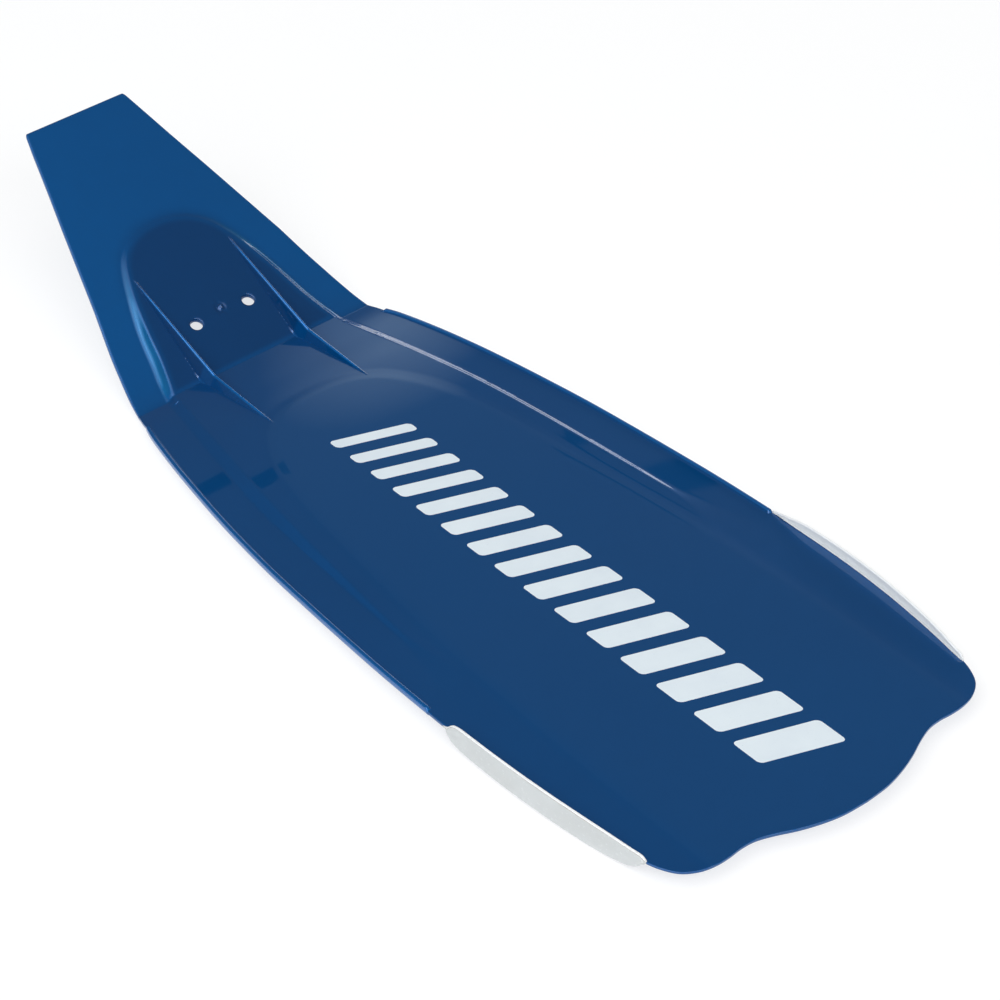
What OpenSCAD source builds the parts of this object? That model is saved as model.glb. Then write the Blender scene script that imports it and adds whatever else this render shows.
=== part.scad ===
// Short swim-fin blade, the replaceable half of a modular fin.
// It lies sole side up, as it rests on a table: the plate is level and the
// tang that slides under the foot pocket climbs away at the heel end.
// X runs across the blade, Y towards the heel, Z up, all in millimetres.
// Stations along the blade are measured from the fold, tipwards negative.

/* [Plate] */
// fold to the middle lobe of the tip
blade_length = 399.5; // [360:0.5:440]
// half of the widest part of the moulding, at the rail ends
half_width = 99.2; // [90:0.1:106]
// plate thickness outside the raised spine
skin = 2; // [1.6:0.1:3]
// plate thickness at the tip
tip_skin = 1.1; // [0.8:0.1:2]
// height of the side rails above the plate
rail_rise = 1.1; // [0.8:0.1:2.4]
// height of a rail where it starts, just tipwards of the fold
rail_start_rise = 0.7; // [0.3:0.1:1.5]
// thickness of the side rails
rail_wall = 2; // [1.4:0.1:3]
// wall thickness of the raised spine, which is hollow underneath
spine_wall = 2.4; // [2:0.1:4]

/* [Tang] */
// length of the tang from the fold, along its own slope
tang_length = 155; // [140:1:170]
// slope of the tang against the plate, degrees
tang_slope = 27.2; // [20:0.1:35]
// half width of the tang at its heel end
tang_half_end = 28.5; // [24:0.1:34]
// corner radius at the heel end
tang_corner = 2; // [1:0.5:6]

/* [Screw holes] */
// distance between the two hole centres
hole_spacing = 30.4; // [26:0.1:36]
// hole diameter
hole_bore = 6; // [5:0.1:7]
// distance of the holes from the fold, along the tang
hole_station = 29; // [24:0.5:40]

/* [Ribs] */
// distance of each rib from the centre line
rib_offset = 27.7; // [24:0.1:32]
// half width of a rib's foot for each millimetre of its height
rib_flare = 0.52; // [0.3:0.02:1]

/* [Edge strips] */
// thickness of a soft strip across the blade edge
strip_wall = 1.5; // [1.3:0.1:3]
// strip height above the plate's datum at its highest
strip_rise = 5.7; // [4:0.1:8]
// strip depth below the plate's datum at its lowest
strip_drop = 8.5; // [6:0.1:8.7]
// how far the blade edge reaches into the strip
tongue = 0.9; // [0.5:0.1:1.1]
// length of the thin lead that joins the right strip to its rail
strip_lead = 12; // [4:0.5:12]

/* [Hidden] */

$fn = 48;
blue = [0.045, 0.17, 0.38];
off_white = [0.86, 0.88, 0.88];
steps = 5;
// the plate's datum lies this far above the surface that the fold rests on
lift = 8.8;
run = tang_length * cos(tang_slope);
rise = tang_length * sin(tang_slope);
// middle of the whole length, which becomes the origin
mid = (run - blade_length) / 2;

// ---- curves ------------------------------------------------------------
// one point of a curve through b and c, with neighbours a and d
function pass(a, b, c, d, t) =
    0.5 * (2 * b + (c - a) * t + (2 * a - 5 * b + 4 * c - d) * t * t
    + (3 * b - a - 3 * c + d) * t * t * t);

// smooth curve through every point of p, ends included
function curve(p, n = steps) = concat(
    [for (i = [0 : len(p) - 2], k = [0 : n - 1])
        pass(p[max(i - 1, 0)], p[i], p[i + 1], p[min(i + 2, len(p) - 1)], k / n)],
    [p[len(p) - 1]]);

function flip(p) = [for (i = [len(p) - 1 : -1 : 0]) [-p[i][0], p[i][1]]];
function back(p) = [for (i = [len(p) - 1 : -1 : 0]) p[i]];
function shift(p, dx, dy) = [for (q = p) [q[0] + dx, q[1] + dy]];
// the same points without any that repeat the one before or the first
function tidy(p) = [for (i = [0 : len(p) - 1])
    if (norm(p[i] - p[(i + len(p) - 1) % len(p)]) > 0.01) p[i]];
// half an outline drawn in by d
function inset(p, d) = [for (q = p) if (q[0] > d + 0.5) [q[0] - d, q[1]]];
function arc(cx, cy, r, a0, a1, n = 6) =
    [for (k = [0 : n]) [cx + r * cos(a0 + (a1 - a0) * k / n),
        cy + r * sin(a0 + (a1 - a0) * k / n)]];

// ---- plan outlines, right half, from the tip to the heel ----------------
tip_edge = curve([[0, -blade_length], [12, -398.8], [22, -396.7], [32, -393.4],
    [42, -389], [50, -386.3], [57, -385.7], [64, -386.2], [71, -386],
    [78, -384.2], [84.4, -380], [88.4, -373.4], [90, -366.8]], 3);
// the line where a soft strip meets the upper side of the blade
strip_foot = curve([[89.8, -366], [90.8, -360], [91.9, -354], [93.6, -344],
    [95.1, -333], [96.4, -322], [97.3, -312], [98.1, -300], [98.6, -286],
    [98.7, -272], [98.6, -261]], 3);
bare_edge = [[99.1, -257.5], [99.1, -250], [98.9, -245]];
rail_edge = curve([[half_width, -244.5], [98.3, -215], [97, -190], [95, -160],
    [92.6, -130], [89.1, -100], [86.2, -80], [82.8, -60], [78.9, -40],
    [74.2, -20], [71, -10]], 4);
waist = curve([[70.3, -9.6], [69.2, -5], [67.7, 0], [65.4, 10], [62.8, 20],
    [60.1, 30], [54.1, 50], [48.3, 70], [42.5, 90], [36.5, 110],
    [tang_half_end + 0.9, run - 3]], 3);
corner = arc(tang_half_end - tang_corner, run - tang_corner, tang_corner, 18, 90);
side = concat(tip_edge, shift(strip_foot, tongue, 0), bare_edge, rail_edge,
    waist, corner);

// the raised spine: wide on the plate, a rounded tongue on the tang
spine = curve([[74, -410], [77, -340], [79, -270], [78, -215], [74, -165],
    [69, -118], [64.6, -84], [60.6, -62], [56.4, -40], [52, -19], [48.4, -2],
    [45, 8], [41.8, 18], [39.2, 29], [36.2, 40], [33.2, 49], [29.4, 58],
    [24.6, 66], [17, 72], [8, 75.2], [0, 76]], 3);
panel = curve([[73, -410], [73, -340], [72, -290], [68, -222], [62, -165],
    [56, -116], [50, -86], [44, -69], [35, -54.5], [24, -46], [12, -42],
    [0, -41]], 3);

module plan(p) {
    translate([0, 0, -40])
        linear_extrude(height = 160)
            polygon(tidy(concat(p, flip(p))));
}

// ---- side profiles, station against height ------------------------------
plate_top = concat(curve([[-402, 0], [-310, 0], [-245, -0.3], [-170, -1.5],
    [-100, -2.8], [-60, -3.2], [-30, -4], [-13, -4.8], [0, -6.6]], 3),
    curve([[5, -4.7], [11, -2.5], [22, 2.7], [34, 9],
    [run * 0.36, rise * 0.36 - 7]], 3), [[run + 1, rise - 6]]);
spine_top = concat(curve([[-402, 0.2], [-330, 0.5], [-260, 0.4], [-200, -0.3],
    [-140, 0.1], [-90, 0.2], [-46, -1], [-20, -2.6], [0, -3.9]], 3),
    [[80, 34.5]]);
panel_top = curve([[-402, 0.8], [-330, 1.1], [-200, 1.2], [-120, 1.1],
    [-60, 0.3], [-30, -1]], 3);
function thickness(y) = skin - (skin - tip_skin) * min(1, max(0, (-y - 230) / 150));
// the same line one plate thickness beneath, square to the surface
function beneath(p) = [for (i = [0 : len(p) - 1])
    let (d = p[min(i + 1, len(p) - 1)] - p[max(i - 1, 0)])
        p[i] + [d[1], -d[0]] * thickness(p[i][0]) / norm(d)];
plate_under = beneath(plate_top);

// a solid right across the blade between two side profiles
module band(top, under, half = 120) {
    translate([-half, 0, 0])
        rotate([90, 0, 90])
            linear_extrude(height = 2 * half)
                polygon(tidy(concat(top, back(under))));
}

// ---- ribs ----------------------------------------------------------------
rib_heel = [56, 22.9];
rib_kink = [-5.4, 1.5];
rib_toe = [-47, -0.8];

// a wedge that hangs from the line between two points of the rib's crest
module wedge(a, b) {
    pitch = atan2(b[1] - a[1], b[0] - a[0]);
    depth = 12;
    length = norm(b - a);
    translate([0, a[0], a[1]])
        rotate([90 + pitch, 0, 0])
            translate([0, 0, -length])
                linear_extrude(height = length)
                    polygon([[-0.45, 0], [0.45, 0],
                        [0.45 + rib_flare * depth, -depth],
                        [-0.45 - rib_flare * depth, -depth]]);
}

module ribs() {
    intersection() {
        for (s = [-1, 1])
            translate([s * rib_offset, 0, 0]) {
                wedge(rib_toe, rib_kink);
                wedge(rib_kink, rib_heel);
            }
        band([[-50, 30], [60, 40]], shift(spine_top, 0, -1), 60);
    }
}

// ---- side rails ----------------------------------------------------------
rail_crest = [for (q = plate_top) if (q[0] > -250 && q[0] < -4)
    [q[0], q[1] + rail_start_rise
        + (rail_rise - rail_start_rise) * min(1, max(0, (-q[0] - 20) / 60))]];

module rails() {
    intersection() {
        for (s = [0, 1])
            mirror([s, 0, 0])
                translate([0, 0, -40])
                    linear_extrude(height = 80)
                        polygon(tidy(concat(rail_edge,
                            back(shift(rail_edge, -rail_wall, 0)))));
        band(rail_crest, shift(rail_crest, 0, -rail_rise - 1));
    }
}

// ---- blade -----------------------------------------------------------------
module screw_holes() {
    foot = [hole_station * cos(tang_slope), hole_station * sin(tang_slope) - 6.7];
    for (s = [-1, 1])
        translate([s * hole_spacing / 2, foot[0], foot[1]])
            rotate([tang_slope, 0, 0])
                cylinder(d = hole_bore, h = 30, center = true);
}

// the gate mark left between the holes by moulding
gate_station = 30.5;
gate_size = 3;

module gate() {
    foot = [gate_station * cos(tang_slope), gate_station * sin(tang_slope) - 6.7];
    translate([0.6, foot[0], foot[1]])
        rotate([tang_slope, 0, 0])
            cylinder(d = gate_size, h = 2.6, $fn = 24);
}

module blade_body() {
    difference() {
        union() {
            difference() {
                union() {
                    intersection() {
                        plan(side);
                        band(plate_top, plate_under);
                    }
                    intersection() {
                        plan(side);
                        plan(spine);
                        band(spine_top, shift(plate_under, 0, 0.5));
                    }
                }
                intersection() {
                    plan(inset(spine, 3));
                    band(shift(spine_top, 0, -spine_wall), [[-402, -30], [80, -30]]);
                }
            }
            intersection() {
                plan(side);
                plan(panel);
                band(panel_top, shift(panel_top, 0, -1.5));
            }
            rails();
            ribs();
            gate();
        }
        screw_holes();
    }
}

module blade() {
    color(blue)
        translate([0, -mid, lift])
            blade_body();
}

// ---- soft edge strips --------------------------------------------------------
// crest and keel of a strip: station against share of its rise and its drop
crest = curve([[-367.2, -0.1], [-366.3, 0.25], [-364.2, 0.46], [-360, 0.51],
    [-352, 0.67], [-345, 0.79], [-333, 0.9], [-320, 0.97], [-306, 1],
    [-293, 0.99], [-282, 0.95], [-272, 0.9], [-266, 0.84], [-262, 0.7],
    [-259.4, 0.4], [-257.4, 0.03], [-254.4, -0.17]], 3);
keel = curve([[-367.2, 0.11], [-365.1, 0.32], [-362.8, 0.57], [-360.4, 0.74],
    [-357.5, 0.86], [-351, 0.95], [-343, 1], [-334, 1], [-315, 0.95],
    [-290, 0.92], [-272, 0.89], [-265, 0.84], [-261, 0.74], [-257.8, 0.48],
    [-256, 0.29], [-254.2, 0.18]], 3);
strip_inner = concat([[89.4, -368]], strip_foot, bare_edge, [[98.9, -244]]);
strip_outer = concat([[89.4 + strip_wall, -368]], shift(strip_foot, strip_wall, 0),
    [[98.5 + strip_wall, -254], [98.4 + strip_wall, -244]]);

// the strip's outline seen from the side, with an optional lead at its heel end
module strip_face(lead) {
    polygon(concat(
        [for (q = crest) [q[0], q[1] * strip_rise]],
        back([for (q = keel) [q[0], -q[1] * strip_drop]])));
    if (lead > 0) {
        end = -256.5 + lead;
        polygon([[end, 0.9], [end, -0.6], [-262, -0.6], [-268, 4.9],
            [-261, 4.2], [-256, 3.1], [end - 5, 2]]);
    }
}

module strip(lead) {
    difference() {
        intersection() {
            translate([0, 0, -40])
                linear_extrude(height = 80)
                    polygon(tidy(concat(strip_outer, back(strip_inner))));
            rotate([90, 0, 90])
                linear_extrude(height = 120)
                    strip_face(lead);
        }
        intersection() {
            plan(side);
            band(plate_top, plate_under);
        }
    }
}

module strip_left() {
    color(off_white)
        translate([0, -mid, lift])
            mirror([1, 0, 0])
                strip(0);
}

module strip_right() {
    color(off_white)
        translate([0, -mid, lift])
            strip(strip_lead);
}

blade();
strip_left();
strip_right();
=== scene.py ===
"""Looks for a short swim-fin blade: a moulded blue blade with soft off-white edge strips.

Lengths in the shape functions are millimetres. A station is measured from the fold: the tip is
negative and the heel tang positive. to_row() turns them into the row's metres.
"""
import math

import bmesh
import bpy
import numpy as np
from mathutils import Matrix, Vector


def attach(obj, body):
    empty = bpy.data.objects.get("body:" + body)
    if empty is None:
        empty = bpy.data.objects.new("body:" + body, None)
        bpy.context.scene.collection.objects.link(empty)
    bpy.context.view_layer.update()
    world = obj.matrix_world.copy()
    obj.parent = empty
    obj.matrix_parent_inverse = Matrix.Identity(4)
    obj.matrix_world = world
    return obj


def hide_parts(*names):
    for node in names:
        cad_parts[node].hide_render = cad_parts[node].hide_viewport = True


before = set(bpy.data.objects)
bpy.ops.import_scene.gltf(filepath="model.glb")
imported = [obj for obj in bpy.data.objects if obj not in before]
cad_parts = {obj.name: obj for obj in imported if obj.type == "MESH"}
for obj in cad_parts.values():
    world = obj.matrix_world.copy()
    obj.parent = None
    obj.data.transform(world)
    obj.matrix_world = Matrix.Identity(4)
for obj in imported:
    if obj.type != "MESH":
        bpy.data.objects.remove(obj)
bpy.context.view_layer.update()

# ---- camera ---------------------------------------------------------------
AZIMUTH = math.radians(-40.82)
ELEVATION = math.radians(39.03)
LENS = 119.5            # focal length in mm
SENSOR = 36.0
CAMERA_AT = Vector((-0.7323, -0.8924, 0.9335))


def add_camera():
    back = Vector((math.sin(AZIMUTH) * math.cos(ELEVATION),
                   -math.cos(AZIMUTH) * math.cos(ELEVATION), math.sin(ELEVATION)))
    data = bpy.data.cameras.new("camera")
    data.lens = LENS
    data.sensor_width = SENSOR
    data.clip_end = 50
    camera = bpy.data.objects.new("camera", data)
    camera.location = CAMERA_AT
    camera.rotation_euler = back.to_track_quat("Z", "Y").to_euler()
    bpy.context.scene.collection.objects.link(camera)
    bpy.context.scene.camera = camera


add_camera()

# ---- sizes ------------------------------------------------------------------
LENGTH = 399.5          # fold to the tip's middle lobe
TANG = 155.0            # length of the tang along its slope
SLOPE = math.radians(27.2)
RUN = TANG * math.cos(SLOPE)
RISE = TANG * math.sin(SLOPE)
MID = (RUN - LENGTH) / 2
LIFT = 8.8              # plate datum above the surface it rests on
SKIN = 2.0              # plate thickness
TIP_SKIN = 1.1          # plate thickness at the tip
SPINE_WALL = 2.4        # wall of the raised spine, hollow underneath
SPINE_SLOPE = 0.48      # rise of the spine's top along the tang
EDGE = 1.0              # depth of the rounded rim
HOLE_R = 3.0
HOLE_LIP = 0.4
HOLE_FILLET = 0.13      # how much a hole opens just inside its lip
HOLE_X = 15.2
HOLE_STATION = 29.0     # along the tang's slope
HOLE_DEPTH = 1.9        # along the holes' axis, from the slope's line to the spine's top
GATE = (0.6, 27.1)      # moulding gate between the holes
RIB_X = 27.7
RIB_CREST = 0.35        # half width of a rib's flat crest
RIB_FLARE = 0.5         # how far a rib widens for each millimetre down
RAIL_END = -244.5
RAIL_START = -10.0
RAIL_RISE = 1.2
RAIL_FIRST = 1.0        # rail height where it starts
TANG_END = 28.5         # half width at the heel end
TANG_CORNER = 2.0
STRIP_WALL = 1.5
STRIP_RISE = 5.7        # greatest height of a strip above the plate's datum
STRIP_DROP = 8.5        # greatest depth of a strip below it


def to_row(p):
    """Millimetres about the fold to metres in the row."""
    q = np.array(p, float)
    q[..., 1] -= MID
    q[..., 2] += LIFT
    return q * 0.001


# ---- curves -------------------------------------------------------------------
def curve(points, n=10):
    """A smooth line through every point."""
    p = np.array(points, float)
    out = []
    for i in range(len(p) - 1):
        a, b, c, d = p[max(i - 1, 0)], p[i], p[i + 1], p[min(i + 2, len(p) - 1)]
        for k in range(n):
            t = k / n
            out.append(0.5 * (2 * b + (c - a) * t + (2 * a - 5 * b + 4 * c - d) * t * t
                              + (3 * b - a - 3 * c + d) * t ** 3))
    out.append(p[-1])
    return np.array(out)


def profile(points):
    """A height or width as a function of the station."""
    line = curve(points)
    return lambda y: np.interp(y, line[:, 0], line[:, 1])


def ramp(t):
    """A smooth step from 0 to 1."""
    t = np.clip(t, 0, 1)
    return t * t * (3 - 2 * t)


def bevel(t, soft=0.22):
    """A straight step from 0 to 1 with rounds at its foot and its shoulder."""
    t = np.clip(t, 0, 1)
    ends = 2 * soft * (1 - soft)
    return np.where(t < soft, t * t / ends,
                    np.where(t > 1 - soft, 1 - (1 - t) ** 2 / ends, (t - soft / 2) / (1 - soft)))


# ---- outlines -------------------------------------------------------------------
CORNER = (84.4, -380.0)
edge_line = curve([(0, -LENGTH), (12, -398.8), (22, -396.7), (32, -393.4), (42, -389),
                   (50, -386.3), (57, -385.7), (64, -386.2), (71, -386), (78, -384.2), CORNER,
                   (88.4, -373.4), (90.6, -366.5), (91.7, -360), (92.8, -354), (94.5, -344),
                   (96, -333), (97.3, -322), (98.2, -312), (99, -300), (99.5, -286),
                   (99.6, -272), (99.5, -261), (99.15, -257), (99.1, -251), (98.9, -243)])
corner_at = int(np.argmin(np.hypot(*(edge_line - CORNER).T)))
tip_part = edge_line[:corner_at + 1]
side_part = edge_line[corner_at:]
rail_line = curve([(99.2, -250), (99.2, RAIL_END), (98.3, -215), (97, -190), (95, -160),
                   (92.6, -130), (89.1, -100), (86.2, -80), (82.8, -60), (78.9, -40), (74.2, -20),
                   (71, RAIL_START), (69, -4)])
waist = profile([(-20, 73), (-9.6, 70.3), (-5, 69.2), (0, 67.7), (10, 65.4), (20, 62.8),
                 (30, 60.1), (50, 54.1), (70, 48.3), (90, 42.5), (110, 36.5),
                 (RUN, TANG_END)])
foot_line = curve([(89, -368.5), (89.8, -366), (90.8, -360), (91.9, -354), (93.6, -344),
                   (95.1, -333), (96.4, -322), (97.3, -312), (98.1, -300), (98.6, -286),
                   (98.7, -272), (98.6, -261), (98.5, -254), (98.4, -243)])


def tip_y(x):
    """Station of the tip's lobes at a distance from the middle."""
    return np.interp(x, tip_part[:, 0], tip_part[:, 1])


def half_width(y):
    """Half the blade's width at a station, rim included."""
    side = np.interp(y, side_part[:, 1], side_part[:, 0])
    rail = np.interp(y, rail_line[:, 1], rail_line[:, 0])
    w = side + (rail - side) * ramp((y - RAIL_END + 1) / 1.5)
    w = w + (waist(y) - w) * ramp((y - RAIL_START + 0.6) / 0.8)
    d = np.clip(y - (RUN - TANG_CORNER), 0, TANG_CORNER)
    return w - (TANG_CORNER - np.sqrt(np.maximum(TANG_CORNER ** 2 - d * d, 0)))


spine_line = curve([(74, -410), (77, -340), (79, -270), (78, -215), (74, -165), (69, -118),
                    (64.6, -84), (60.6, -62), (56.4, -40), (52, -19), (48.4, -2), (45, 8),
                    (41.8, 18), (39.2, 29), (36.2, 40), (33.2, 49), (29.4, 58), (24.6, 66),
                    (17, 72), (8, 75.2), (0, 76)], 6)
panel_line = curve([(73, -410), (73, -340), (72, -290), (68, -222), (62, -165), (56, -116),
                    (50, -86), (44, -69), (35, -54.5), (24, -46), (12, -42), (0, -41)], 6)


def inside(line, x, y):
    """Distance from a half outline, positive inside it."""
    px = np.abs(x).ravel()
    py = y.ravel()
    best = np.full(px.shape, 1e9)
    cross = np.zeros(px.shape, int)
    for (ax, ay), (bx, by) in zip(line[:-1], line[1:]):
        ex, ey = bx - ax, by - ay
        t = np.clip(((px - ax) * ex + (py - ay) * ey) / (ex * ex + ey * ey), 0, 1)
        d = np.hypot(px - ax - t * ex, py - ay - t * ey)
        best = np.minimum(best, d)
        hit = ((ay > py) != (by > py)) & (px < ax + (py - ay) * ex / (ey + 1e-12))
        cross += hit
    sign = np.where(cross % 2 == 1, 1, -1)
    return (best * sign).reshape(x.shape)


# ---- heights --------------------------------------------------------------------
plate_line = np.concatenate([
    curve([(-404, 0), (-310, 0), (-245, -0.3), (-170, -1.5), (-100, -2.8), (-60, -3.2),
           (-30, -4), (-13, -4.9), (0, -6.2)]),
    curve([(5, -4.7), (11, -2.5), (22, 2.7), (34, 9), (RUN * 0.36, RISE * 0.36 - 7)]),
    [(RUN + 4, RISE * (RUN + 3) / RUN - 6)]])
spine_plate = profile([(-404, 0.2), (-330, 0.5), (-260, 0.4), (-200, -0.3), (-140, 0.1),
                       (-90, 0.2), (-46, -1), (-20, -2.6), (0, -3.9)])
panel_rise = profile([(-404, 0.3), (-330, 0.3), (-200, 0.35), (-120, 0.25), (-35, 0.25)])
spine_shoulder = profile([(-404, 20), (-270, 16), (-222, 5), (-200, 1.6), (-160, 1.5),
                          (-120, 1.6), (-85, 1.8), (-15, 1.8), (-4, 1.4), (2, 0.6), (90, 0.5)])
spine_foot = profile([(-404, -20), (-270, -16), (-222, -5), (-200, -1.2), (-160, -2),
                      (-120, -3.2), (-85, -3.7), (-15, -3.9), (-3, -4), (3, -4.5), (15, -5),
                      (35, -4.5), (60, -3), (90, -2)])


def plate_top(y):
    """Height of the plate beside the spine."""
    return np.interp(y, plate_line[:, 0], plate_line[:, 1])


def spine_top(y):
    """Height of the spine, which runs on straight up the tang."""
    return np.where(y < 0, spine_plate(y), spine_plate(0) + SPINE_SLOPE * y)


def spine_share(x, y):
    """How far up the raised spine's side wall a point is: 0 at its foot, 1 on top."""
    d = inside(spine_line, x, y)
    t = np.clip((d - spine_foot(y)) / (spine_shoulder(y) - spine_foot(y)), 0, 1)
    tang = ramp((y + 8) / 12)
    cove = 1 - (1 - t * t) ** 1.5
    return bevel(t) * (1 - tang) + cove * tang


def ridge_top(y):
    """Height of a rib's crest: two straight runs with a kink over the fold."""
    return np.interp(y, [-60, -47, -5.4, 56, 66], [-2.2, -0.6, 1.5, 22.9, 26.4])


def rail_rise(y):
    """Height of the rail above the plate."""
    end = ramp((y - RAIL_END) / 1.2)
    start = ramp((RAIL_START + 0.3 - y) / 0.9)
    grow = RAIL_FIRST + (RAIL_RISE - RAIL_FIRST) * np.clip((-y - 20) / 60, 0, 1)
    return grow * end * start


def top_height(x, y):
    """Height of the upper surface, with spine, panel, rails, ribs and gate mark."""
    z = plate_top(y)
    z = z + (spine_top(y) - z) * spine_share(x, y)
    d = inside(panel_line, x, y)
    z = z + panel_rise(y) * ramp(d / 9 + 0.5)
    out = half_width(y) - np.abs(x)
    z = z + rail_rise(y) * ramp((2.5 - out) / 0.8)
    rib = ridge_top(y) - np.maximum(0, np.abs(np.abs(x) - RIB_X) - RIB_CREST) / RIB_FLARE
    rib = np.where((y > -56) & (y < 62), rib, -99)
    z = np.maximum(z, rib)
    return z + gate_mark(x - GATE[0], y - GATE[1])


def gate_mark(dx, dy):
    """Snapped-off stub in a shallow dimple, with faint flow lines running out of it."""
    r = np.hypot(dx, dy * 1.1)
    stub = 0.95 * ramp((1.35 - r) / 0.5) * (1 + 0.35 * np.sin(3.1 * dx + 1.7 * dy))
    dimple = -0.28 * np.exp(-((r - 2.1) / 0.7) ** 2)
    rays = 0.03 * np.sin(7 * np.arctan2(dy, dx) + 1) * np.exp(-((r - 4.2) / 1.6) ** 2)
    return stub + dimple + rays


def normal_at(y):
    """Unit normal of the plate's side profile, smoothed across the fold."""
    reach = 2.5
    slope = (plate_top(y + reach) - plate_top(y - reach)) / (2 * reach)
    n = np.hypot(slope, 1)
    return -slope / n, 1 / n


def thickness(y):
    """Wall of the plate, thinner towards the tip."""
    return SKIN - (SKIN - TIP_SKIN) * np.clip((-y - 230) / 150, 0, 1)


def under_point(x, y):
    """Underside: square to the plate outside the spine, straight down inside its hollow."""
    ny, nz = normal_at(y)
    hollow = bevel((inside(spine_line, x, y) - 2) / 3)
    by = y - ny * thickness(y) * (1 - hollow) * ramp((RUN - y) / 12)
    bz = plate_top(y) - nz * thickness(y)
    return by, bz + np.maximum(0, spine_top(by) - SPINE_WALL - bz) * hollow


# ---- blade mesh -------------------------------------------------------------------
def spread(knots):
    """Stations between knots, each (end, spacing), from the first knot's value."""
    out = [knots[0][0]]
    for end, gap in knots[1:]:
        n = max(1, int(round((end - out[-1]) / gap)))
        start = out[-1]
        out += [start + (end - start) * (k + 1) / n for k in range(n)]
    return np.array(out)


REF = 66.0              # half width of the grid before it is fitted to the outline
KEEP = 33.0             # inside this the columns keep their places near the fold
RIM_BAND = 4.0          # the outermost columns follow the rim at this width
RIB_GAP = 0.36          # spacing of the columns on each side of a rib
RIB_COLUMNS = 10        # how many of them there are on a side
RIB_BAND = 3.6          # and how wide those are together
CREST_CELLS = 1         # columns to the edge of a rib's crest
FOOT_CELLS = 6          # columns to its foot
HOLE_CELLS = 6          # half side of the square of cells that a hole takes the place of
HOLE_REACH = 12         # half side of the square that bends round the hole
FOOT_CREASE = math.radians(-22)     # concave corners sharper than this stay crisp
RIM_CUTS = 10           # facets round the rim
RIM_POWER = 2 / 4.5     # the rim's section is a superellipse of power 4.5
hole_row = HOLE_STATION * math.cos(SLOPE)
hole_y = hole_row - math.sin(SLOPE) * HOLE_DEPTH
columns = spread([(0, 0), (3.5, 0.4), (8, 0.5), (RIB_X - RIB_BAND, 0.6),
                  (RIB_X + RIB_BAND, RIB_GAP), (62, 0.55), (REF - 0.02, 0.33)])
columns = np.concatenate([-columns[:0:-1], columns])
rows = spread([(CORNER[1], 0), (-372, 0.8), (-250, 1.8), (-240, 0.35), (-100, 1.5), (-60, 1.2),
               (-12, 0.8), (-7, 0.5), (7, 0.4), (hole_row - 8.4, 0.5), (hole_row + 9.6, 0.6),
               (64, 0.8), (80, 0.6), (RUN - 4, 1.6), (RUN - EDGE - 0.03, 0.4)])


def grid():
    """Plan of the blade's grid, fitted to the outline, the ribs and the tip."""
    ref, y = np.meshgrid(columns, rows)
    half = half_width(y) - EDGE
    keep = ramp((y + 110) / 45) * ramp((100 - y) / 25)
    a = np.abs(ref)
    # the outer columns follow the outline; the inner ones do so only away from the fold
    knee = keep * KEEP + (1 - keep) * KEEP * (half - RIM_BAND) / (REF - RIM_BAND)
    x = np.where(a < KEEP, a / KEEP * knee,
                 knee + (a - KEEP) / (REF - RIM_BAND - KEEP) * (half - RIM_BAND - knee))
    x = np.where(a > REF - RIM_BAND, half - (REF - a), x)
    # the columns near a rib follow its crest and its feet
    step = np.abs(a - RIB_X) / RIB_GAP
    tall = np.maximum(ridge_top(y) - spine_top(y), 0) * (np.abs(y) < 60)
    foot = np.clip(RIB_CREST + RIB_FLARE * tall, 0.9, 3.1)
    rib = np.interp(step, [0, CREST_CELLS], [0, RIB_CREST])
    side = (step - CREST_CELLS) / (FOOT_CELLS - CREST_CELLS)
    rib = np.where(step > CREST_CELLS, RIB_CREST + (foot - RIB_CREST) * side, rib)
    beyond = (step - FOOT_CELLS) / (RIB_COLUMNS - FOOT_CELLS)
    rib = np.where(step > FOOT_CELLS, foot + (RIB_BAND - foot) * beyond, rib)
    near = (step < RIB_COLUMNS) * ramp((y + 64) / 5) * ramp((74 - y) / 8)
    x = (x + near * (RIB_X + np.sign(a - RIB_X) * rib - a)) * np.sign(ref)
    # rows bend to follow the lobes of the tip
    lobe = tip_y(np.abs(x[0]) * CORNER[0] / np.abs(x[0]).max()) - CORNER[1] + EDGE
    y = y + lobe[None, :] * ramp((-290 - y) / 90)
    return x, y


def square_ring():
    """Cells (across, along) round the square of a hole, from one corner."""
    c = HOLE_CELLS
    run = range(-c, c)
    return ([(k, -c) for k in run] + [(c, k) for k in run]
            + [(-k, c) for k in run] + [(-c, -k) for k in run])


def square_angle(di, dj):
    """Angle round a circle of a point on a square ring, evenly spread."""
    r = max(abs(di), abs(dj))
    if abs(di) == r and abs(dj) < r:
        turn = dj / r * 45 if di > 0 else 180 - dj / r * 45
    else:
        turn = 90 - di / r * 45 if dj > 0 else 270 + di / r * 45
    return math.radians(turn)


def blend_at(field, row, column):
    """Value of a grid between its points."""
    j, i = int(math.floor(row)), int(math.floor(column))
    fj, fi = row - j, column - i
    return ((field[j, i] * (1 - fi) + field[j, i + 1] * fi) * (1 - fj)
            + (field[j + 1, i] * (1 - fi) + field[j + 1, i + 1] * fi) * fj)


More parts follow.
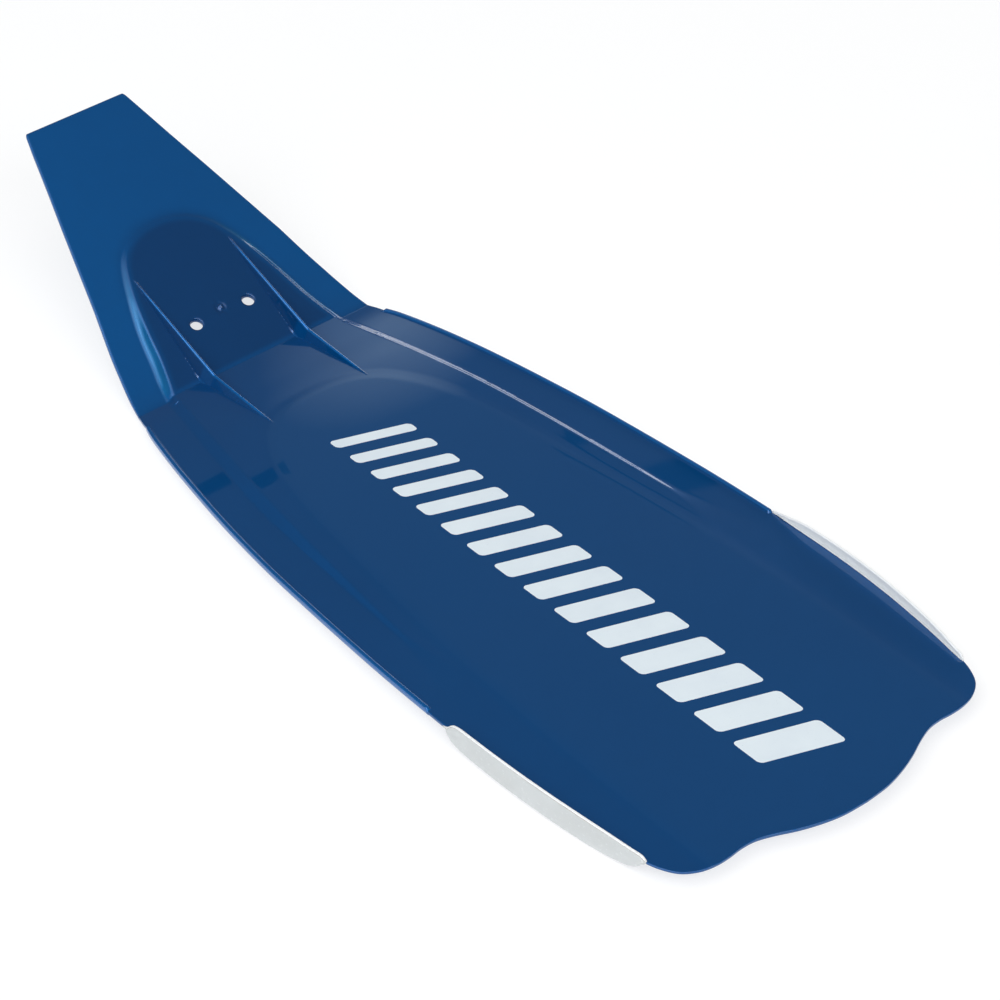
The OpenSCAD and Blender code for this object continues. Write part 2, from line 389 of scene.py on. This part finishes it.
def warp(x, y):
    """Bend the grid round the two holes; also returns the cells inside them and their rings."""
    x, y = x.copy(), y.copy()
    drop = np.zeros(x.shape, bool)
    rings = []
    lip = HOLE_R + HOLE_LIP
    c = HOLE_CELLS
    for side in (-1, 1):
        ci = int(np.argmin(np.abs(columns - side * HOLE_X)))
        cj = int(np.argmin(np.abs(rows - hole_row)))
        for dj in range(-HOLE_REACH + 1, HOLE_REACH):
            for di in range(-HOLE_REACH + 1, HOLE_REACH):
                rho = max(abs(di), abs(dj))
                if rho < c:
                    continue
                angle = square_angle(di, dj)
                hx = side * HOLE_X + lip * math.cos(angle)
                hy = hole_y + lip * math.cos(SLOPE) * math.sin(angle)
                s = HOLE_REACH / rho
                ex = blend_at(x, cj + dj * s, ci + di * s)
                ey = blend_at(y, cj + dj * s, ci + di * s)
                t = (rho - c) / (HOLE_REACH - c)
                x[cj + dj, ci + di] = hx + (ex - hx) * t
                y[cj + dj, ci + di] = hy + (ey - hy) * t
        drop[cj - c:cj + c, ci - c:ci + c] = True
        rings.append([(cj + dj, ci + di) for di, dj in square_ring()])
    return x, y, drop, rings


def make_object(name, verts, faces, material):
    """A smooth-shaded mesh object."""
    mesh = bpy.data.meshes.new(name)
    mesh.from_pydata([tuple(v) for v in verts], [], faces)
    mesh.validate()
    mesh.polygons.foreach_set("use_smooth", [True] * len(mesh.polygons))
    mesh.materials.append(material)
    mesh.update()
    obj = bpy.data.objects.new(name, mesh)
    bpy.context.scene.collection.objects.link(obj)
    return obj


def set_marks(obj, marks):
    """Store named values, one for each point, for the material to read."""
    for name, values in marks:
        layer = obj.data.attributes.new(name, "FLOAT", "POINT")
        layer.data.foreach_set("value", np.ascontiguousarray(values, float))


def thinness(x, y, z):
    """Painted glow: 1 on the ribs' crests, the rails and the tang's margin, coloured lighter as if
    light came through the thin plastic.
    """
    crest = ramp((z - ridge_top(y) + 0.9) / 0.8) * (np.abs(np.abs(x) - RIB_X) < 0.8)
    crest = crest * ramp((y + 46) / 8) * ramp((54 - y) / 12)
    out = half_width(y) - np.abs(x)
    rail = ramp((2.3 - out) / 0.9) * (y > RAIL_END) * (y < RAIL_START)
    tang = 0.16 * ramp((y + 2) / 6) * ramp((1 - inside(spine_line, x, y)) / 8)
    return np.maximum(np.maximum(0.55 * crest, 0.3 * rail), tang)


def painted_wall_glow(x, y):
    """Painted glow: 1 halfway up the spine's side walls on the tang, coloured lighter as if light
    came through there.
    """
    t = (inside(spine_line, x, y) - spine_foot(y)) / (spine_shoulder(y) - spine_foot(y))
    t = np.clip(t, 0, 1)
    return (4 * t * (1 - t)) * ramp((y + 1) / 8) * ramp((74 - y) / 30)


def painted_spine_shade(x, y):
    """Painted shade: 1 on the spine's top along the tang, coloured darker as if little light came
    through there.
    """
    return ramp(inside(spine_line, x, y) / 4) * ramp((y - 0.5) / 2.5)


def panel_share(x, y):
    """Painted sheen: 1 on the raised panel near its heel, fading along the blade, where the colour
    is a little lighter.
    """
    return ramp(inside(panel_line, x, y) / 2 + 0.5) * (0.5 + 0.5 * ramp((y + 210) / 150))


def skin_faces(shape, drop):
    """Quads of the upper surface and of the underside, without the holes' cells."""
    nj, ni = shape
    faces = []
    for j in range(nj - 1):
        for i in range(ni - 1):
            if drop[j, i]:
                continue
            a = j * ni + i
            b = nj * ni + a
            faces.append((a, a + 1, a + ni + 1, a + ni))
            faces.append((b, b + ni, b + ni + 1, b + 1))
    return faces


def rim_rings(top, low, edge):
    """Rings of points that round off the rim, from the top to the underside."""
    mid = np.array([(top[e] + low[e]) / 2 for e in edge])
    up = np.array([(top[e] - low[e]) / 2 for e in edge])
    along = np.roll(mid, -2, 0) - np.roll(mid, 2, 0)
    out = np.cross(along, up)
    out /= np.linalg.norm(out, axis=1)[:, None]
    rings = []
    for k in range(1, RIM_CUTS):
        a = math.pi / 2 - math.pi * k / RIM_CUTS
        rise = math.sin(a)
        c = math.cos(a) ** RIM_POWER
        s = math.copysign(abs(rise) ** RIM_POWER, rise) if abs(rise) > 1e-9 else 0
        rings.append(mid + out * EDGE * c + up * s)
    return rings


def hole_rings(top, low, side, ring):
    """Rings of points down a hole's wall, with a small lip at each mouth."""
    angles = [square_angle(*cell) for cell in square_ring()]
    wide = HOLE_R + HOLE_FILLET
    rings = []
    for radius, share in ((wide, 0.08), (HOLE_R, 0.25), (HOLE_R, 0.75), (wide, 0.92)):
        points = []
        for a, cell in zip(angles, ring):
            z = top[cell][2] + (low[cell][2] - top[cell][2]) * share
            points.append(np.array([side * HOLE_X + radius * math.cos(a),
                                    hole_y + radius * math.sin(a) * math.cos(SLOPE), z]))
        rings.append(points)
    return rings


def bridge(chain, inward):
    """Quads between each closed ring of points and the next."""
    faces = []
    for upper, lower in zip(chain[:-1], chain[1:]):
        for k in range(len(upper)):
            m = (k + 1) % len(upper)
            if inward:
                faces.append((upper[k], upper[m], lower[m], lower[k]))
            else:
                faces.append((upper[m], upper[k], lower[k], lower[m]))
    return faces


def crease_feet(mesh):
    """Keep the concave corners at the ribs' feet crisp."""
    bm = bmesh.new()
    bm.from_mesh(mesh)
    for edge in bm.edges:
        if len(edge.link_faces) == 2 and edge.calc_face_angle_signed() < FOOT_CREASE:
            edge.smooth = False
    bm.to_mesh(mesh)
    bm.free()


def build_blade(material):
    """The moulding as one closed mesh: top, underside, rim and hole walls."""
    x, y, drop, holes = warp(*grid())
    nj, ni = x.shape
    top = np.stack([x, y, top_height(x, y)], -1)
    low = np.stack([x, *under_point(x, y)], -1)
    verts = list(top.reshape(-1, 3)) + list(low.reshape(-1, 3))
    faces = skin_faces(x.shape, drop)
    edge = [(0, i) for i in range(ni)] + [(j, ni - 1) for j in range(1, nj)]
    edge += [(nj - 1, i) for i in range(ni - 2, -1, -1)] + [(j, 0) for j in range(nj - 2, 0, -1)]
    walls = [(edge, rim_rings(top, low, edge), False)]
    walls += [(ring, hole_rings(top, low, side, ring), True) for side, ring in zip((-1, 1), holes)]
    for ring, steps, inward in walls:
        chain = [[j * ni + i for j, i in ring]]
        for points in steps:
            chain.append(list(range(len(verts), len(verts) + len(points))))
            verts += list(points)
        chain.append([nj * ni + j * ni + i for j, i in ring])
        faces += bridge(chain, inward)
    verts = np.array(verts)
    blade = make_object("blade_moulding", to_row(verts), faces, material)
    x, y, z = verts.T
    # painted light for the material: glow on crests, rails and spine walls, shade on the spine's
    # top, sheen on the panel
    set_marks(blade, (("thin", thinness(x, y, z)), ("wall", painted_wall_glow(x, y)),
                      ("painted_shade", painted_spine_shade(x, y)), ("panel", panel_share(x, y))))
    crease_feet(blade.data)
    return blade


# ---- edge strips --------------------------------------------------------------------
crest_share = profile([(-367.2, -0.1), (-366.3, 0.25), (-364.2, 0.46), (-360, 0.51),
                       (-352, 0.67), (-345, 0.79), (-333, 0.9), (-320, 0.97), (-306, 1),
                       (-293, 0.99), (-282, 0.95), (-272, 0.9), (-266, 0.84), (-262, 0.7),
                       (-259.4, 0.4), (-257.4, 0.03), (-254.4, -0.17)])
keel_share = profile([(-367.2, 0.11), (-365.1, 0.32), (-362.8, 0.57), (-360.4, 0.74),
                      (-357.5, 0.86), (-351, 0.95), (-343, 1), (-334, 1), (-315, 0.95),
                      (-290, 0.92), (-272, 0.89), (-265, 0.84), (-261, 0.74), (-257.8, 0.48),
                      (-256, 0.29), (-254.2, 0.18)])
lead_top = profile([(-270, 5), (-266, 4.9), (-261, 4.2), (-256, 3.1), (-251, 2.2),
                    (-247, 1.3), (-244.6, 0.8)])
BEAD = 0.5              # radius of the bead along the crest
STRIP_MID = -310.8      # middle station of a strip
STRIP_HALF = 56.4       # half its length
STRIP_CUTS = 150
LEAD_FROM = -269.5      # the right strip's thin lead runs from here
LEAD_TO = -244.7
LEAD_JOIN = -270.0
LEAD_CUTS = 50
LEAD_TAIL = -254.2      # past this the lead is all that is left of the strip
LEAD_KEEL = -0.7
LEAD_OUT = 0.1          # how far the lead steps out


def strip_section(crest, keel):
    """Outline of a strip as (distance out from its inner face, height, bead, groove).

    The last two say how much a point gets the painted highlight, on the crest bead, the ledge and
    the inner face, and how much it belongs to the dirty groove.
    """
    tall = crest - keel
    bead = min(BEAD, tall * 0.18)
    wall = STRIP_WALL * min(1, 0.45 + tall / 8)
    lip = wall * 0.8
    base = min(0, crest - 2 * bead)
    ledge = min(max((crest - 1.6) / 0.8, 0), 1)
    # third value: painted highlight, full on the crest and the base ledge, partly on the inner
    # face
    pts = [(0, keel + 2 * bead, 0, 0), (0, base, 0.45, 0)]
    pts += [(-px * ledge, base + pz * ledge, painted_highlight, dirt) for px, pz, painted_highlight, dirt in
            ((0.35, 0.12, 1, 0), (0.45, 0.4, 1, 0), (0.3, 0.68, 1, 0), (0, 0.85, 0.45, 0))]
    pts += [(0, crest - 1.6 * bead, 0.45, 0), (0.02, crest - bead, 0.8, 0)]
    pts += [(bead - bead * math.cos(a), crest - bead + bead * math.sin(a), 1, 0)
            for a in np.linspace(0.3, math.pi / 2, 5)]
    pts += [(lip * 0.8, crest - 0.06 * bead, 1, 0), (lip * 0.95, crest - 0.35 * bead, 1, 0),
            (lip, crest - 0.8 * bead, 0.8, 0), (lip * 0.98, crest - 1.15 * bead, 0.3, 0.2),
            (lip * 0.84, crest - 1.4 * bead, 0, 1), (lip * 0.84, crest - 1.6 * bead, 0, 1),
            (lip, crest - 1.95 * bead, 0, 0.2)]
    top, low = crest - 2.2 * bead, keel + 2 * bead
    for s in np.arange(9) / 9:
        side = lip + (wall - lip) * (1 - abs(2 * s - 1) ** 2.4)
        pts.append((side, top + (low - top) * s, 0, 0))
    pts += [(lip - bead + bead * math.cos(a), low - 2 * bead * math.sin(a), 0, 0)
            for a in np.linspace(0, math.pi / 2, 6)]
    pts += [(0.25 * bead, keel + 0.2 * bead, 0, 0)]
    return pts


def build_strip(name, side, lead, material):
    """A tall thin crescent moulded round the blade's edge."""
    ys = STRIP_MID - STRIP_HALF * np.cos(np.linspace(0, math.pi, STRIP_CUTS))
    if lead:
        ys = np.concatenate([ys[ys < LEAD_JOIN], np.linspace(LEAD_FROM, LEAD_TO, LEAD_CUTS)])
    sections = []
    marks = []
    for y in ys:
        x = np.interp(y, foot_line[:, 1], foot_line[:, 0])
        crest = crest_share(y) * STRIP_RISE
        keel = -keel_share(y) * STRIP_DROP
        if lead:
            crest = max(crest, lead_top(y)) if y > LEAD_JOIN else crest
            x += LEAD_OUT * ramp((y + 260.5) / 3)
        keel = min(keel, crest - 0.3)
        if y > LEAD_TAIL:
            keel = LEAD_KEEL
        section = strip_section(crest, keel)
        sections.append([(side * (x + px), y, pz) for px, pz, _, _ in section])
        # bead carries a painted highlight on the crest and the inner face; groove is grime
        marks += [(bead, groove) for _, _, bead, groove in section]
    n = len(sections[0])
    verts = [p for s in sections for p in s]
    faces = []
    for r in range(len(sections) - 1):
        for k in range(n):
            m = (k + 1) % n
            quad = (r * n + k, r * n + m, (r + 1) * n + m, (r + 1) * n + k)
            faces.append(quad if side > 0 else quad[::-1])
    first = tuple(range(n))
    last = tuple((len(sections) - 1) * n + k for k in range(n))
    faces.append(first[::-1] if side > 0 else first)
    faces.append(last if side > 0 else last[::-1])
    strip = make_object(name, to_row(np.array(verts)), faces, material)
    set_marks(strip, zip(("bead", "groove"), np.array(marks, float).T))
    return strip


# ---- printed pattern ------------------------------------------------------------------
PRINT_HALF = 18.3       # half width of the pattern
PRINT_FROM = -78.0
PRINT_TO = -370.0
PRINT_SHEAR = -0.365    # how far a bar slips tipwards for each millimetre across
BARS = 15
BAR_FIRST = 6.5         # width of the bar nearest the heel, and of the one nearest the tip
BAR_LAST = 16.5
INK = 0.05              # thickness of the ink
INK_ROOT = 0.15         # how deep its lower side is sunk in the plate
PRINT_CUT = 3           # spacing of the cuts that let the ink follow the surface
BAR_CORNER = 2.2


def bar_outline(width, n=5):
    """Rounded rectangle, across the blade and along it, centred on the origin."""
    pts = []
    for cx, cy, start in ((1, 1, 0), (-1, 1, 90), (-1, -1, 180), (1, -1, 270)):
        for k in range(n + 1):
            a = math.radians(start + 90 * k / n)
            pts.append((cx * (PRINT_HALF - BAR_CORNER) + BAR_CORNER * math.cos(a),
                        cy * (width / 2 - BAR_CORNER) + BAR_CORNER * math.sin(a)))
    return pts


def build_print(material):
    """Sheared bars that grow towards the tip, laid on the blade as a thin skin of ink."""
    widths = np.linspace(BAR_FIRST, BAR_LAST, BARS)
    reach = PRINT_HALF * abs(PRINT_SHEAR)
    space = (PRINT_FROM - PRINT_TO - 2 * reach - widths.sum()) / (BARS - 1)
    bm = bmesh.new()
    at = PRINT_FROM - reach
    for width in widths:
        ring = [bm.verts.new((x, at - width / 2 + y + PRINT_SHEAR * x, 0))
                for x, y in bar_outline(width)]
        bm.faces.new(ring)
        at -= width + space
    for cut in np.arange(-PRINT_HALF + PRINT_CUT, PRINT_HALF, PRINT_CUT):
        bmesh.ops.bisect_plane(bm, geom=bm.verts[:] + bm.edges[:] + bm.faces[:],
                               plane_co=(cut, 0, 0), plane_no=(1, 0, 0))
    bm.faces.ensure_lookup_table()
    flat = list(bm.faces)
    made = bmesh.ops.extrude_face_region(bm, geom=flat)
    upper = [v for v in made["geom"] if isinstance(v, bmesh.types.BMVert)]
    lower = [v for v in bm.verts if v not in set(upper)]
    for verts, lift in ((upper, INK), (lower, -INK_ROOT)):
        x = np.array([v.co.x for v in verts])
        y = np.array([v.co.y for v in verts])
        for v, z in zip(verts, top_height(x, y)):
            v.co.z = z + lift
    bmesh.ops.recalc_face_normals(bm, faces=bm.faces[:])
    for v in bm.verts:
        v.co = Vector(to_row([v.co.x, v.co.y, v.co.z]))
    mesh = bpy.data.meshes.new("printed_bars")
    bm.to_mesh(mesh)
    bm.free()
    mesh.materials.append(material)
    obj = bpy.data.objects.new("printed_bars", mesh)
    bpy.context.scene.collection.objects.link(obj)
    return obj


# ---- materials -------------------------------------------------------------------------
def new_material(name):
    mat = bpy.data.materials.new(name)
    mat.use_nodes = True
    nodes = mat.node_tree.nodes
    shader = nodes["Principled BSDF"]
    return mat, nodes, mat.node_tree.links, shader


def attribute(nodes, name):
    node = nodes.new("ShaderNodeAttribute")
    node.attribute_name = name
    return node.outputs["Fac"]


def noise(nodes, links, coord, scale, detail):
    node = nodes.new("ShaderNodeTexNoise")
    node.inputs["Scale"].default_value = scale
    node.inputs["Detail"].default_value = detail
    links.new(coord, node.inputs["Vector"])
    return node.outputs["Fac"]


def remap(nodes, links, value, low, high, to_low, to_high):
    node = nodes.new("ShaderNodeMapRange")
    node.inputs["From Min"].default_value = low
    node.inputs["From Max"].default_value = high
    node.inputs["To Min"].default_value = to_low
    node.inputs["To Max"].default_value = to_high
    links.new(value, node.inputs["Value"])
    return node.outputs["Result"]


def mix_colour(nodes, links, fac, a, b):
    node = nodes.new("ShaderNodeMix")
    node.data_type = "RGBA"
    links.new(fac, node.inputs[0])
    for sock, value in ((node.inputs[6], a), (node.inputs[7], b)):
        if isinstance(value, tuple):
            sock.default_value = value
        else:
            links.new(value, sock)
    return node.outputs[2]


BLUE_SHADES = ((0.0006, 0.074, 0.252, 1), (0.0006, 0.079, 0.266, 1))
# painted light: a lighter panel (painted sheen), a darker spine top (painted shade), lighter spine
# walls, crests and rails (painted glow)
PAINTED_LIGHT_BLUES = (("panel", (0.006, 0.086, 0.27, 1)), ("painted_shade", (0.002, 0.055, 0.19, 1)),
              ("wall", (0.004, 0.13, 0.32, 1)), ("thin", (0.0006, 0.2, 0.62, 1)))


def add_bump(nodes, links, shader, height, strength, distance, sockets=("Normal",)):
    bump = nodes.new("ShaderNodeBump")
    bump.inputs["Strength"].default_value = strength
    bump.inputs["Distance"].default_value = distance
    links.new(height, bump.inputs["Height"])
    for socket in sockets:
        links.new(bump.outputs["Normal"], shader.inputs[socket])


def blue_plastic():
    """Clear-coated deep blue with faint flow marks, a painted glow on crests, rails and the
    spine's walls, painted shade on the spine's top and a painted sheen on the panel.
    """
    mat, nodes, links, shader = new_material("blue_moulded_plastic")
    coord = nodes.new("ShaderNodeTexCoord").outputs["Object"]
    flow = noise(nodes, links, coord, 9, 3)
    tint = remap(nodes, links, flow, 0.35, 0.65, 0, 1)
    colour = mix_colour(nodes, links, tint, *BLUE_SHADES)
    # each of these marks paints light or shade into the base colour
    for mark, shade in PAINTED_LIGHT_BLUES:
        colour = mix_colour(nodes, links, attribute(nodes, mark), colour, shade)
    links.new(colour, shader.inputs["Base Color"])
    shader.inputs["Metallic"].default_value = 0.55
    shader.inputs["Specular IOR Level"].default_value = 0.0
    haze = noise(nodes, links, coord, 160, 3)
    links.new(remap(nodes, links, haze, 0.3, 0.7, 0.36, 0.4), shader.inputs["Roughness"])
    shader.inputs["Coat Weight"].default_value = 1.0
    shader.inputs["Coat Roughness"].default_value = 0.03
    shader.inputs["Coat IOR"].default_value = 1.5
    peel = noise(nodes, links, coord, 38, 1)
    add_bump(nodes, links, shader, peel, 0.03, 0.0004, ("Normal", "Coat Normal"))
    return mat


def soft_elastomer():
    """Cloudy off-white with fine flecks, a painted highlight on the bead and the inner face, and
    grime in the groove.
    """
    mat, nodes, links, shader = new_material("off_white_elastomer")
    coord = nodes.new("ShaderNodeTexCoord").outputs["Object"]
    cloud = noise(nodes, links, coord, 40, 4)
    tint = remap(nodes, links, cloud, 0.4, 0.75, 0, 1)
    colour = mix_colour(nodes, links, tint, (0.6, 0.625, 0.63, 1), (0.56, 0.58, 0.58, 1))
    grain = noise(nodes, links, coord, 700, 2)
    fleck = remap(nodes, links, grain, 0.62, 0.72, 0, 0.5)
    colour = mix_colour(nodes, links, fleck, colour, (0.72, 0.75, 0.76, 1))
    # painted highlight: the crest bead, the ledge and the inner face are coloured lighter
    colour = mix_colour(nodes, links, attribute(nodes, "bead"), colour, (0.9, 0.92, 0.92, 1))
    grime = noise(nodes, links, coord, 30, 3)
    patch = nodes.new("ShaderNodeMath")
    patch.operation = "MULTIPLY"
    links.new(attribute(nodes, "groove"), patch.inputs[0])
    links.new(remap(nodes, links, grime, 0.42, 0.6, 0.15, 0.85), patch.inputs[1])
    colour = mix_colour(nodes, links, patch.outputs[0], colour, (0.42, 0.36, 0.28, 1))
    links.new(colour, shader.inputs["Base Color"])
    shader.inputs["Roughness"].default_value = 0.42
    shader.inputs["Subsurface Weight"].default_value = 0.7
    shader.inputs["Subsurface Radius"].default_value = (0.003, 0.003, 0.003)
    shader.inputs["Subsurface Scale"].default_value = 1.0
    fine = noise(nodes, links, coord, 900, 2)
    add_bump(nodes, links, shader, fine, 0.1, 0.0002)
    return mat


def printed_ink():
    """Pale print with pinholes."""
    mat, nodes, links, shader = new_material("printed_ink")
    coord = nodes.new("ShaderNodeTexCoord").outputs["Object"]
    cloud = noise(nodes, links, coord, 60, 3)
    tint = remap(nodes, links, cloud, 0.35, 0.7, 0, 1)
    colour = mix_colour(nodes, links, tint, (0.76, 0.83, 0.87, 1), (0.72, 0.79, 0.84, 1))
    pores = noise(nodes, links, coord, 1500, 2)
    pin = remap(nodes, links, pores, 0.7, 0.8, 0, 0.35)
    colour = mix_colour(nodes, links, pin, colour, (0.3, 0.38, 0.45, 1))
    links.new(colour, shader.inputs["Base Color"])
    links.new(remap(nodes, links, cloud, 0.3, 0.7, 0.3, 0.4), shader.inputs["Roughness"])
    add_bump(nodes, links, shader, pores, 0.15, 0.00005)
    return mat


def floor_material():
    mat, _, _, shader = new_material("pale_floor")
    shader.inputs["Base Color"].default_value = (0.31, 0.31, 0.31, 1)
    shader.inputs["Roughness"].default_value = 0.9
    shader.inputs["Emission Color"].default_value = (1, 1, 1, 1)
    shader.inputs["Emission Strength"].default_value = 0.72
    return mat


# ---- build -------------------------------------------------------------------------------
blue = blue_plastic()
pale = soft_elastomer()
blade = build_blade(blue)
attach(blade, "root")
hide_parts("blade")
ink = build_print(printed_ink())
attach(ink, "root")
for name, side, lead in (("strip_left", -1, False), ("strip_right", 1, True)):
    strip = build_strip("soft_" + name, side, lead, pale)
    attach(strip, "root")
    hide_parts(name)

# ---- stage ---------------------------------------------------------------------------------
FLOOR_SIZE = 14.0
FLOOR_AT = (0, 0, -0.0005)
bpy.ops.mesh.primitive_plane_add(size=FLOOR_SIZE, location=FLOOR_AT)
floor = bpy.context.object
floor.name = "floor"
floor.data.materials.append(floor_material())

world = bpy.data.worlds.new("studio")
bpy.context.scene.world = world
world.use_nodes = True
sky = world.node_tree.nodes["Background"]
sky.inputs["Color"].default_value = (0.9, 0.95, 1.0, 1)
sky.inputs["Strength"].default_value = 0.18


def area_light(name, azimuth, elevation, distance, size, radiance):
    """A soft box facing the part. Azimuth 0 is +Y and 90 is +X, in degrees."""
    a, e = math.radians(azimuth), math.radians(elevation)
    towards = Vector((math.sin(a) * math.cos(e), math.cos(a) * math.cos(e), math.sin(e)))
    data = bpy.data.lights.new(name, "AREA")
    data.shape = "RECTANGLE"
    data.size, data.size_y = size
    data.energy = radiance * math.pi * size[0] * size[1]
    obj = bpy.data.objects.new(name, data)
    obj.location = towards * distance
    obj.rotation_euler = towards.to_track_quat("Z", "Y").to_euler()
    bpy.context.scene.collection.objects.link(obj)


area_light("key_left", -108, 43, 2.6, (2.1, 2.0), 2.5)
area_light("front", -172, 41, 2.9, (2.0, 1.2), 3.8)
area_light("card_right", 62, 9, 1.8, (1.3, 0.5), 2.2)


def facing_card(name, at, size, material):
    """A flat card at a place round the part, facing it."""
    bpy.ops.mesh.primitive_grid_add(size=1, x_subdivisions=4, y_subdivisions=4, location=at)
    card = bpy.context.object
    card.name = name
    card.scale = (size[0], size[1], 1)
    card.rotation_euler = Vector(at).to_track_quat("Z", "Y").to_euler()
    card.data.materials.append(material)
    return card


COOL = (0.8, 1.0, 1.12, 1)
WHITE = (1, 1, 1, 1)


def soft_card(name, at, size, glow, colour):
    """A glowing card that fades out towards its edges."""
    mat, nodes, links, _ = new_material(name)
    nodes.clear()
    coord = nodes.new("ShaderNodeTexCoord")
    centred = nodes.new("ShaderNodeMapping")
    centred.inputs["Location"].default_value = (-1, -1, 0)
    centred.inputs["Scale"].default_value = (2, 2, 0)
    links.new(coord.outputs["Generated"], centred.inputs["Vector"])
    fade = nodes.new("ShaderNodeTexGradient")
    fade.gradient_type = "SPHERICAL"
    links.new(centred.outputs["Vector"], fade.inputs["Vector"])
    lamp = nodes.new("ShaderNodeEmission")
    lamp.inputs["Color"].default_value = colour
    strength = remap(nodes, links, fade.outputs["Fac"], 0, 0.8, 0, glow)
    links.new(strength, lamp.inputs["Strength"])
    clear = nodes.new("ShaderNodeBsdfTransparent")
    mix = nodes.new("ShaderNodeAddShader")
    links.new(lamp.outputs["Emission"], mix.inputs[0])
    links.new(clear.outputs["BSDF"], mix.inputs[1])
    end = nodes.new("ShaderNodeOutputMaterial")
    links.new(mix.outputs["Shader"], end.inputs["Surface"])
    facing_card(name, at, size, mat)


def dark_card(name, at, size, tilt):
    """A small black card, turned a little, that shows as a dark patch in the gloss."""
    mat, _, _, shader = new_material(name)
    shader.inputs["Base Color"].default_value = (0.002, 0.002, 0.002, 1)
    shader.inputs["Roughness"].default_value = 1.0
    card = facing_card(name, at, size, mat)
    card.rotation_euler.rotate_axis("Z", math.radians(tilt))


soft_card("glow_right", (0.68, 0.93, 0.63), (0.28, 0.3), 0.9, COOL)
soft_card("glow_left", (-0.8, 0.34, 1.03), (0.85, 0.85), 2.2, COOL)
soft_card("top", (-0.5, -0.26, 2.12), (3.1, 3.1), 1.55, WHITE)
dark_card("dark_right", (0.896, 0.804, 0.915), (0.12, 0.034), 18)
dark_card("dark_left", (0.611, 1.05, 0.914), (0.075, 0.034), 20)

bpy.context.scene.view_settings.view_transform = "Standard"
